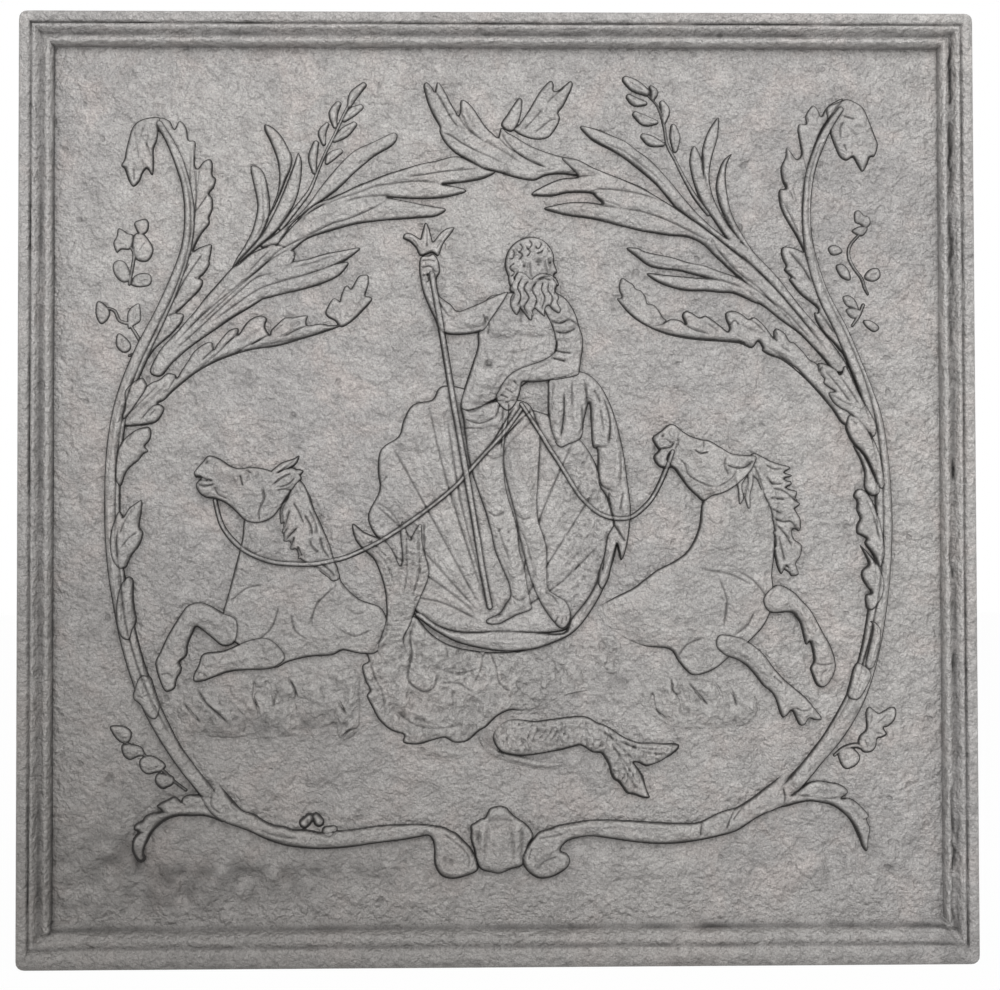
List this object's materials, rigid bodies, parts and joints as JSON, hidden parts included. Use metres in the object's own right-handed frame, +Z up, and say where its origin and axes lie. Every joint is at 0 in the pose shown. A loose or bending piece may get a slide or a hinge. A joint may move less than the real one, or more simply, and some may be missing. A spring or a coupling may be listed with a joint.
{
  "type": "fireback",
  "caption": "Square cast-iron fireback with a moulded border and low relief: a bearded sea god with trident, a shell and two fish-tailed horses in a leafy wreath.",
  "frame": {"origin": "middle of the foot in X, middle of the total thickness in Y, Z = 0 at the foot", "axes": "+Z up, +X to the right as seen from the front, +Y towards the wall behind; the relief faces -Y"},
  "size_m": [0.6, 0.026, 0.598],
  "materials": {
    "plate_iron": "rough sand-cast",
    "border_iron": "rough sand-cast",
    "wreath_iron": "rough sand-cast",
    "figure_iron": "rough sand-cast",
    "sea_iron": "rough sand-cast"
  },
  "bodies": {
    "root": {"back_plate": "plate_iron", "border_top": "border_iron", "border_bottom": "border_iron", "border_left": "border_iron", "border_right": "border_iron", "stem_left": "wreath_iron", "stem_right": "wreath_iron", "frond_left": "wreath_iron", "frond_right": "wreath_iron", "flower_left": "wreath_iron", "flower_right": "wreath_iron", "palm_left": "wreath_iron", "palm_right": "wreath_iron", "plume_left": "wreath_iron", "plume_right": "wreath_iron", "berries_left": "wreath_iron", "berries_right": "wreath_iron", "sprig_left": "wreath_iron", "sprig_right": "wreath_iron", "side_leaf_left": "wreath_iron", "side_leaf_right": "wreath_iron", "husks_left": "wreath_iron", "husks_right": "wreath_iron", "buds_left": "wreath_iron", "buds_right": "wreath_iron", "corner_leaf_left": "wreath_iron", "corner_leaf_right": "wreath_iron", "scroll_left": "wreath_iron", "scroll_right": "wreath_iron", "palmette": "wreath_iron", "shell": "figure_iron", "chariot_rim": "figure_iron", "head": "figure_iron", "beard": "figure_iron", "torso": "figure_iron", "arm_left": "figure_iron", "arm_right": "figure_iron", "leg_left": "figure_iron", "leg_right": "figure_iron", "drapery": "figure_iron", "staff": "figure_iron", "trident_head": "figure_iron", "rein_left": "figure_iron", "rein_right": "figure_iron", "horse_left_head": "sea_iron", "horse_left_mane": "sea_iron", "horse_left_body": "sea_iron", "horse_left_legs": "sea_iron", "horse_right_head": "sea_iron", "horse_right_mane": "sea_iron", "horse_right_body": "sea_iron", "horse_right_legs": "sea_iron", "tail_fluke_left": "sea_iron", "tail_right": "sea_iron", "coils": "sea_iron", "waves_left": "sea_iron", "waves_right": "sea_iron"}
  },
  "joints": []
}
